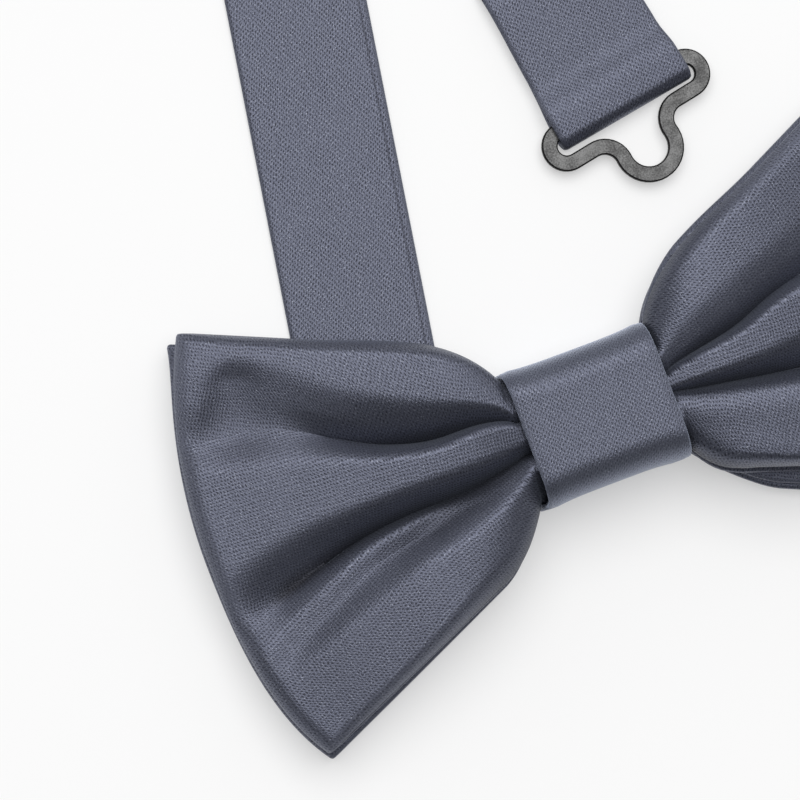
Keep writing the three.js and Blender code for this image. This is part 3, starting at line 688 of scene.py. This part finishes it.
def bezier(points, steps):
    """Points spaced evenly along a cubic curve, the headings there and the lengths gone."""
    t = np.linspace(0, 1, 800)[:, None]
    p = [np.array(q, float) for q in points]
    curve = (1 - t) ** 3 * p[0] + 3 * (1 - t) ** 2 * t * p[1] + 3 * (1 - t) * t**2 * p[2] + t**3 * p[3]
    gone = np.concatenate([[0], np.cumsum(np.linalg.norm(np.diff(curve, axis=0), axis=1))])
    at = np.linspace(0, gone[-1], steps + 1)
    even = np.stack([np.interp(at, gone, curve[:, i]) for i in range(3)], axis=1)
    tangent = np.gradient(curve, axis=0)
    tangent = np.stack([np.interp(at, gone, tangent[:, i]) for i in range(3)], axis=1)
    return even, tangent / np.linalg.norm(tangent, axis=1, keepdims=True), at


def bend_sections(start, angle, handle, side, steps, level, roll_from, roll_to):
    """Sections along a bend, where the strap rolls from flat on to its inner edge."""
    first = start + heading(angle) * handle
    last = np.array([APEX["x"] + side * APEX["handle"], APEX["y"], 0.0])
    even, tangent, gone = bezier([start, first, last, (APEX["x"], APEX["y"], 0)], steps)
    made = []
    for middle, along, at in zip(even, tangent * -side, gone):
        roll = math.pi / 2 * float(smooth((at - roll_from) / (roll_to - roll_from)))
        middle = middle + UPWARD * (level(at) + WIDTH / 2 * math.sin(roll))
        made.append((middle, left_of(along) * math.cos(roll) + UPWARD * math.sin(roll), WIDTH))
    return made, gone[-1]


def strap_sections():
    east = heading(0)
    west = heading(math.pi)

    def flat(x, y, z, along, facing, width=WIDTH):
        return (np.array([x, y, z], float), left_of(along) * facing, width)

    made = [flat(HOOK_END - FLAP["hook"], 0, LEVEL, east, 1), flat(HOOK_END - 6, 0, LEVEL, east, 1)]
    made += fold_round((HOOK_END, 0), east, LEVEL, STRAP["end_radius"], 14, True, 1)
    level = eased(HOOK_RUN["x"], HOOK_RUN["level"])
    width = eased(HOOK_RUN["x"], HOOK_RUN["width"])
    places = [np.arange(79, 60, -1.0), np.arange(56, 22, -6.0), np.arange(20, -21, -1.0)]
    for x in np.concatenate(places):
        made.append(flat(x, 0, level(x), west, -1, width(x)))
    line = (UP + math.pi) / 2
    slanted = WIDTH / math.sin(line - UP)
    turned = heading(line + math.pi / 2)
    made += fold_round(TURN, turned, LEVEL, STRAP["turn_radius"], 12, False, -1, slanted)
    up = heading(UP)
    start = np.array([TURN[0], TURN[1], 0.0])
    for d in (12, 20, 28, 36, 44, 52, 60, 68):
        p = start + up * d
        made.append(flat(p[0], p[1], LEVEL, up, 1))
    eye_up = heading(EYE_UP)
    eye = np.array([EYE_END[0], EYE_END[1], 0.0])
    long_bend, long_length = bend_sections(
        start + up * LONG_SIDE, UP, BEND_HANDLE["long"], -1, 90, lambda at: LEVEL, ROLL[0], ROLL[1]
    )
    made += long_bend
    eye_level = eased(EYE_RUN["gone"], EYE_RUN["level"])
    eye_width = eased(EYE_RUN["gone"], EYE_RUN["width"])
    begin = eye + eye_up * EYE_SIDE
    args = (begin, EYE_UP, BEND_HANDLE["eye"], 1, 100, lambda at: eye_level(at + EYE_SIDE))
    _, eye_length = bend_sections(*args, ROLL[0], ROLL[1])
    spare = eye_length - long_length
    back, _ = bend_sections(*args, ROLL[0] + spare, ROLL[1] + spare)
    made += back[::-1][1:]
    for d in np.arange(20, 0.9, -1.0):
        p = eye + eye_up * d
        made.append(flat(p[0], p[1], eye_level(d), -eye_up, 1, eye_width(d)))
    made += fold_round(EYE_END, -eye_up, LEVEL, STRAP["end_radius"], 14, False, 1, eye_width(0))
    for d in (3, 6, 10, 14, FLAP["eye"]):
        p = eye + eye_up * d
        made.append(flat(p[0], p[1], LEVEL, eye_up, -1, eye_width(d) - FLAP["taper"] * d))
    return made


def strap_mesh():
    """The strap, its length, and how far along it the middle of its far bend lies."""
    share = np.linspace(-1, 1, 33)
    grid = []
    for middle, across, width in strap_sections():
        half = width / 2 - STRAP["thick"] / 2
        grid.append(middle + np.outer(share * half, across))
    grid = np.array(grid)
    obj = cloth_shell("neckband_strip", grid, STRAP["thick"], angles=STRAP_THREADS)
    middle = len(share) // 2
    gone = grid_lengths(grid)[:, middle, 0]
    return obj, gone[-1], gone[np.argmax(grid[:, middle, 1])]


strap, strap_length, strap_to_bend = strap_mesh()

# Materials


def new_material(name):
    material = bpy.data.materials.new(name)
    material.use_nodes = True
    tree = material.node_tree
    shader = tree.nodes["Principled BSDF"]
    return material, tree, shader


def node(tree, kind, **settings):
    made = tree.nodes.new(kind)
    for key, value in settings.items():
        setattr(made, key, value)
    return made


def set_inputs(made, values):
    for name, value in values.items():
        made.inputs[name].default_value = value


def attribute(tree, name):
    return node(tree, "ShaderNodeAttribute", attribute_name=name).outputs["Vector"]


def split_vector(tree, vector):
    split = node(tree, "ShaderNodeSeparateXYZ")
    tree.links.new(vector, split.inputs[0])
    return split.outputs


def add_relief(tree, shader, height, strength, deep):
    """Fine relief on a material. deep is in millimetres."""
    bump = node(tree, "ShaderNodeBump")
    set_inputs(bump, {"Strength": strength, "Distance": deep * MM})
    tree.links.new(height, bump.inputs["Height"])
    tree.links.new(bump.outputs["Normal"], shader.inputs["Normal"])


def math_node(tree, operation, a, b=None, c=None, clamp=False):
    made = node(tree, "ShaderNodeMath", operation=operation, use_clamp=clamp)
    for socket, value in zip(made.inputs, (a, b, c)):
        if value is None:
            continue
        if isinstance(value, (int, float)):
            socket.default_value = value
        else:
            tree.links.new(value, socket)
    return made.outputs[0]


def mix_colour(tree, factor, a, b):
    made = node(tree, "ShaderNodeMix", data_type="RGBA")
    for socket, value in ((made.inputs[0], factor), (made.inputs[6], a), (made.inputs[7], b)):
        if isinstance(value, (int, float)):
            socket.default_value = value
        elif isinstance(value, tuple):
            socket.default_value = (*value, 1)
        else:
            tree.links.new(value, socket)
    return made.outputs[2]


def range_node(tree, value, from_min, from_max, to_min=0.0, to_max=1.0):
    made = node(tree, "ShaderNodeMapRange")
    made.interpolation_type = "SMOOTHSTEP"
    tree.links.new(value, made.inputs[0])
    for socket, number in zip(made.inputs[1:5], (from_min, from_max, to_min, to_max)):
        socket.default_value = number
    return made.outputs[0]


SATIN = (0.108, 0.116, 0.156)
SATIN_DARK = (0.026, 0.027, 0.038)
# A lighter colour for painted glints: specks that stand in for sheen off single threads
SATIN_GLINT = (0.25, 0.265, 0.32)
# The near-black colour of the painted shade deep in the wing's creases
CREASE_SHADE_COLOUR = (0.003, 0.0025, 0.004)
DOTS = dict(first=0.8, second=1.0, apart=0.4, together=0.3)  # the share of each wave in the lattice
CUT = 0.2  # the lattice changes over within this distance of a crease
# Noise on the flat cloth, for each millimetre
SWAY_NOISE = dict(scale=0.7, detail=2)
GRAIN_NOISE = dict(scale=5.2, detail=2, roughness=0.7)
CLOUD_NOISE = dict(scale=0.16, detail=3)
GLINT_NOISE = dict(scale=4.4, detail=1)
SWAY = 0.7  # how far the threads wander
GRAIN = 5.0  # how much the grain breaks up the dots
# The two ends of what is measured, and the values that they become, which are 0 and 1 if not given
SPOT_RANGE = (-0.3, 2.2)
CLOUD_RANGE = (0.35, 0.65, 0.65, 0.9)
GLINT_RANGE = (0.58, 0.72, 0.0, 0.8)
ROUGH_RANGE = (0.0, 1.0, 0.44, 0.6)
# How much of the cloth's colour gives way to painted shade deep in a crease
CREASE_SHADE_SHARE = 0.95  # how much of the cloth's colour is lost deep in a crease
DOT_HEIGHT = 0.4
# In the seam, dark is how much painted shadow lies along the groove, under the lap's edge
SEAM = dict(inset=1.3, half=0.03, soft=0.2, fade=5, dark=0.5, deep=1.5)


def dot_pattern(tree, place, first, second, turn=0.0):
    """A satin weave's lattice of dots, from about -1 to 2.5.

    first and second are (period in mm, degrees).
    """
    phases = []
    for period, angle in (first, second):
        wave = node(tree, "ShaderNodeVectorMath", operation="DOT_PRODUCT")
        tree.links.new(place, wave.inputs[0])
        way = math.radians(angle + turn)
        size = 2 * math.pi / period
        wave.inputs[1].default_value = (size * math.cos(way), size * math.sin(way), 0)
        phases.append(wave.outputs["Value"])
    a, b = phases
    apart = math_node(tree, "SUBTRACT", b, a)
    together = math_node(tree, "ADD", b, apart)
    total = math_node(tree, "MULTIPLY", math_node(tree, "COSINE", a), DOTS["first"])
    for phase, label in ((b, "second"), (apart, "apart"), (together, "together")):
        total = math_node(tree, "MULTIPLY_ADD", math_node(tree, "COSINE", phase), DOTS[label], total)
    return total


def panelled(tree, place, first, second):
    """The dots with their lattice turned in the panels, which are cut off cleanly at the creases."""
    plain = dot_pattern(tree, place, first, second)
    panel_and_shade = split_vector(tree, attribute(tree, "panel_and_shade"))
    for socket, turn in (("X", PANEL_TURN), ("Y", -PANEL_TURN)):
        turned = dot_pattern(tree, place, first, second, turn)
        inside = range_node(tree, panel_and_shade[socket], -CUT, CUT)
        less = math_node(tree, "MULTIPLY", plain, math_node(tree, "SUBTRACT", 1.0, inside))
        plain = math_node(tree, "MULTIPLY_ADD", turned, inside, less)
    return plain


def noise(tree, place, scale, detail, roughness=0.5):
    made = node(tree, "ShaderNodeTexNoise")
    set_inputs(made, {"Scale": scale, "Detail": detail, "Roughness": roughness})
    tree.links.new(place, made.inputs["Vector"])
    return made


def satin(name, first, second, fanned_and_shaded=False, seam=False, sheen=0.12):
    """Satin with a fine lattice of crossing points.

    first and second are the lattice's (period in mm, degrees).
    """
    material, tree, shader = new_material(name)
    links = tree.links
    place = attribute(tree, "weave")
    sway = node(tree, "ShaderNodeVectorMath", operation="SCALE")
    links.new(noise(tree, place, **SWAY_NOISE).outputs["Color"], sway.inputs[0])
    sway.inputs["Scale"].default_value = SWAY
    moved = node(tree, "ShaderNodeVectorMath", operation="ADD")
    links.new(place, moved.inputs[0])
    links.new(sway.outputs["Vector"], moved.inputs[1])
    pattern = panelled if fanned_and_shaded else dot_pattern
    dots = pattern(tree, moved.outputs["Vector"], first, second)
    grain = noise(tree, place, **GRAIN_NOISE).outputs["Fac"]
    cloud = noise(tree, place, **CLOUD_NOISE).outputs["Fac"]
    ragged = math_node(tree, "MULTIPLY_ADD", math_node(tree, "SUBTRACT", grain, 0.5), GRAIN, dots)
    spot = range_node(tree, ragged, *SPOT_RANGE)
    weight = range_node(tree, cloud, *CLOUD_RANGE)
    colour = mix_colour(tree, math_node(tree, "MULTIPLY", spot, weight), SATIN, SATIN_DARK)
    # Painted highlight: random specks of a lighter colour stand in for glints of sheen off single threads
    glints = range_node(tree, noise(tree, place, **GLINT_NOISE).outputs["Fac"], *GLINT_RANGE)
    colour = mix_colour(tree, glints, colour, SATIN_GLINT)
    if fanned_and_shaded:
        # Painted shade: the wing's colour darkens deep in its creases, where little light gets in
        crease_shade = split_vector(tree, attribute(tree, "panel_and_shade"))["Z"]
        colour = mix_colour(tree, math_node(tree, "MULTIPLY", crease_shade, CREASE_SHADE_SHARE), colour, CREASE_SHADE_COLOUR)
    height = math_node(tree, "MULTIPLY", ragged, DOT_HEIGHT)
    if seam:
        on_strap = split_vector(tree, place)
        line = WIDTH / 2 - SEAM["inset"]
        from_line = math_node(tree, "ABSOLUTE", math_node(tree, "ADD", on_strap["Y"], line))
        groove = range_node(tree, from_line, SEAM["half"], SEAM["soft"], 1.0, 0.0)
        ends = (strap_to_bend - SEAM["fade"], strap_to_bend + SEAM["fade"])
        shown = range_node(tree, on_strap["X"], *ends, 1.0, 0.0)
        groove = math_node(tree, "MULTIPLY", groove, shown)
        # Painted shadow along the seam's groove, where the lap's edge shades it
        lap_shadow = math_node(tree, "MULTIPLY", groove, SEAM["dark"])
        colour = mix_colour(tree, lap_shadow, colour, SATIN_DARK)
        height = math_node(tree, "SUBTRACT", height, math_node(tree, "MULTIPLY", groove, SEAM["deep"]))
    links.new(colour, shader.inputs["Base Color"])
    add_relief(tree, shader, height, 0.6, 0.05)
    links.new(range_node(tree, spot, *ROUGH_RANGE), shader.inputs["Roughness"])
    looks = {
        "Metallic": 0.75,
        "Specular IOR Level": 0.5,
        "Sheen Weight": sheen,
        "Sheen Roughness": 0.5,
        "Sheen Tint": (0.72, 0.8, 1, 1),
        "Anisotropic": 0.8,
    }
    set_inputs(shader, looks)
    world_way = node(tree, "ShaderNodeVectorTransform", vector_type="VECTOR")
    world_way.convert_from = "OBJECT"
    world_way.convert_to = "WORLD"
    links.new(attribute(tree, "shine"), world_way.inputs[0])
    links.new(world_way.outputs[0], shader.inputs["Tangent"])
    return material


def gunmetal(name, dark, light):
    """Dark plated steel with a fine mottle between two greys."""
    material, tree, shader = new_material(name)
    links = tree.links
    place = node(tree, "ShaderNodeTexCoord").outputs["Object"]
    fine = noise(tree, place, 4200, 4, 0.6).outputs["Fac"]
    broad = noise(tree, place, 420, 2).outputs["Fac"]
    mottle = math_node(tree, "MULTIPLY_ADD", math_node(tree, "SUBTRACT", broad, 0.5), 0.6, fine)
    spots = range_node(tree, mottle, 0.25, 0.75)
    links.new(mix_colour(tree, spots, (dark,) * 3, (light,) * 3), shader.inputs["Base Color"])
    links.new(range_node(tree, mottle, 0.3, 0.7, 0.5, 0.4), shader.inputs["Roughness"])
    add_relief(tree, shader, mottle, 0.25, 0.03)
    shader.inputs["Metallic"].default_value = 0.85
    return material


FACE_WITHIN = 0.01  # a clasp's upper face lies within this of its highest point
ARC_MIDDLE = 0.3  # where the middle of a rounded edge lies, as a share of its radius


def clasp_outline(mesh):
    """The loops round a flat clasp's upper face, with its metal on their left.

    The levels of its lower and upper face come with them.
    """
    low = min(v.co.z for v in mesh.vertices)
    high = max(v.co.z for v in mesh.vertices)

    def key(i):
        co = mesh.vertices[i].co
        return (round(co.x / MM, 3), round(co.y / MM, 3))

    pairs = []
    for polygon in mesh.polygons:
        if all(mesh.vertices[i].co.z > high - FACE_WITHIN * MM for i in polygon.vertices):
            ring = [key(i) for i in polygon.vertices]
            pairs += zip(ring, ring[1:] + ring[:1])
    known = set(pairs)
    edges = {a: b for a, b in pairs if (b, a) not in known}
    loops = []
    while edges:
        start, after = edges.popitem()
        loop = [start]
        while after != start:
            loop.append(after)
            after = edges.pop(after)
        loops.append(np.array(loop))
    return loops, low / MM, high / MM


def clasp_mesh(name, flat_clasp, edge):
    """The same clasp with its edges rounded, and a second material slot for them."""
    loops, low, high = clasp_outline(flat_clasp)
    middle = ARC_MIDDLE * edge
    levels = [(edge, low), (middle, low + middle), (0, low + edge)]
    levels += [(0, high - edge), (middle, high - middle), (edge, high)]
    points = []
    faces = []
    caps = []
    for loop in loops:
        along = np.roll(loop, -1, 0) - np.roll(loop, 1, 0)
        inward = unit(np.stack([-along[:, 1], along[:, 0]], axis=1))
        count = len(loop)
        start = len(points)
        for inset, z in levels:
            points += [(*p, z) for p in loop + inward * inset]
        for n in range(len(levels) - 1):
            for i in range(count):
                k = (i + 1) % count
                a = start + n * count
                faces.append((a + i, a + k, a + count + k, a + count + i))
        caps.append(start)
    sides = len(faces)
    for n in (0, len(levels) - 1):
        rings = []
        for start, loop in zip(caps, loops):
            first = start + n * len(loop)
            rings.append(range(first, first + len(loop)))
        flat = [i for ring in rings for i in ring]
        for triangle in tessellate_polygon([[Vector(points[i]) for i in ring] for ring in rings]):
            a, b, c = (np.array(points[flat[i]][:2]) for i in triangle)
            up = (b[0] - a[0]) * (c[1] - a[1]) - (b[1] - a[1]) * (c[0] - a[0]) > 0
            corners = tuple(flat[i] for i in triangle)
            faces.append(corners if up == (n > 0) else corners[::-1])
    made = make_mesh(name, points, faces, [])
    for i, polygon in enumerate(made.data.polygons):
        polygon.material_index = 1 if i < sides else 0
        polygon.use_smooth = i < sides
    return made


EYE_EDGE = 0.22  # the radius of the eye's edges
wing_satin = satin("wing_satin", (0.463, WING_THREADS + 41), (0.353, WING_THREADS), fanned_and_shaded=True)
knot_satin = satin("knot_satin", (0.437, KNOT_THREADS - 37), (0.331, KNOT_THREADS), sheen=0.8)
strap_satin = satin("strap_satin", (0.446, STRAP_THREADS - 38), (0.345, STRAP_THREADS), seam=True)
metal = gunmetal("mottled_gunmetal", 0.05, 0.13)
# The clasp's rounded edges are painted near black, a painted shade for sides that face away from the light
metal_edge_shade = gunmetal("shaded_gunmetal_edge", 0.008, 0.02)

cad_eye = bpy.data.objects["clasp_eye"]
eye = clasp_mesh("clasp_eye_ring", cad_eye.data, EYE_EDGE)
eye.matrix_world = cad_eye.matrix_world.copy()

for piece, material, cad in (
    (bow_front, wing_satin, "bow_front"),
    (bow_back, wing_satin, "bow_back"),
    (knot, knot_satin, "knot"),
    (strap, strap_satin, "neckband"),
):
    piece.data.materials.append(material)
    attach(piece, "root")
    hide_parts(cad)

eye.data.materials.append(metal)
eye.data.materials.append(metal_edge_shade)
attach(eye, "root")
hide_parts("clasp_eye")
hook = bpy.data.objects["clasp_hook"]
for slot in hook.material_slots:
    slot.material = metal
if not hook.material_slots:
    hook.data.materials.append(metal)

# Floor, lights and camera

PHOTO_RIGHT = Vector((0.9385, -0.3453, 0.0))
PHOTO_UP = Vector((0.3453, 0.9385, 0.0))
TARGET = Vector((-25.2, 12.0, 6.0)) * MM
CAMERA_FOOT = -0.85 * PHOTO_RIGHT - 0.5 * PHOTO_UP  # it looks from the photo's lower left
CAMERA_TILT = math.radians(8.5)
CAMERA_FAR = 0.75  # metres
VIEW_WIDE = 115.6 * MM
SENSOR = 36
FLOOR = 2  # half its width, in metres
FLOOR_GREY = 0.51
FLOOR_GLOW = 0.42  # the sheet lets some light through
KEY_FROM = 0.32 * PHOTO_UP - 0.08 * PHOTO_RIGHT + Vector((0, 0, 1.0))
# The room is darkest below the photo and brightest past its top edge
ROOM_WAY = PHOTO_UP - 0.2 * PHOTO_RIGHT
ROOM_RANGE = (-0.6, 0.7, 0.2, 1.0)
ROOM_LIGHT = 0.62

floor_mesh = bpy.data.meshes.new("table")
floor_corners = [(-FLOOR, -FLOOR, 0), (FLOOR, -FLOOR, 0), (FLOOR, FLOOR, 0), (-FLOOR, FLOOR, 0)]
floor_mesh.from_pydata(floor_corners, [], [(0, 1, 2, 3)])
floor = bpy.data.objects.new("table", floor_mesh)
bpy.context.scene.collection.objects.link(floor)
floor_material, _, floor_shader = new_material("pale_table")
floor_looks = {
    "Base Color": (FLOOR_GREY, FLOOR_GREY, FLOOR_GREY, 1),
    "Emission Color": (1, 1, 1, 1),
    "Emission Strength": FLOOR_GLOW,
    "Roughness": 0.9,
    "Specular IOR Level": 0.1,
}
set_inputs(floor_shader, floor_looks)
floor_mesh.materials.append(floor_material)


def area_light(name, towards, far, size, power):
    data = bpy.data.lights.new(name, "AREA")
    data.shape = "DISK"
    data.size = size
    data.energy = power
    light = bpy.data.objects.new(name, data)
    light.location = TARGET + towards.normalized() * far
    light.rotation_euler = (light.location - TARGET).to_track_quat("Z", "Y").to_euler()
    bpy.context.scene.collection.objects.link(light)


area_light("key", KEY_FROM, far=2.0, size=2.3, power=40)

bpy.context.scene.view_settings.view_transform = "Standard"
world = bpy.context.scene.world or bpy.data.worlds.new("world")
bpy.context.scene.world = world
world.use_nodes = True
background = world.node_tree.nodes["Background"]
where = node(world.node_tree, "ShaderNodeTexCoord")
facing = node(world.node_tree, "ShaderNodeVectorMath", operation="DOT_PRODUCT")
world.node_tree.links.new(where.outputs["Generated"], facing.inputs[0])
facing.inputs[1].default_value = ROOM_WAY.normalized()
glow = range_node(world.node_tree, facing.outputs["Value"], *ROOM_RANGE)
world.node_tree.links.new(glow, background.inputs[0])
background.inputs[1].default_value = ROOM_LIGHT

tilt_way = CAMERA_FOOT.normalized() * math.sin(CAMERA_TILT) + Vector((0, 0, math.cos(CAMERA_TILT)))
camera_data = bpy.data.cameras.new("camera")
camera_data.sensor_width = SENSOR
camera_data.lens = SENSOR * CAMERA_FAR / VIEW_WIDE
camera_data.clip_start = 0.01
camera = bpy.data.objects.new("camera", camera_data)
bpy.context.scene.collection.objects.link(camera)
back = tilt_way.normalized()
right = (PHOTO_RIGHT - back * PHOTO_RIGHT.dot(back)).normalized()
top = back.cross(right)
camera.matrix_world = Matrix.Translation(TARGET + back * CAMERA_FAR) @ Matrix(
    ((right.x, top.x, back.x), (right.y, top.y, back.y), (right.z, top.z, back.z))
).to_4x4()
bpy.context.scene.camera = camera
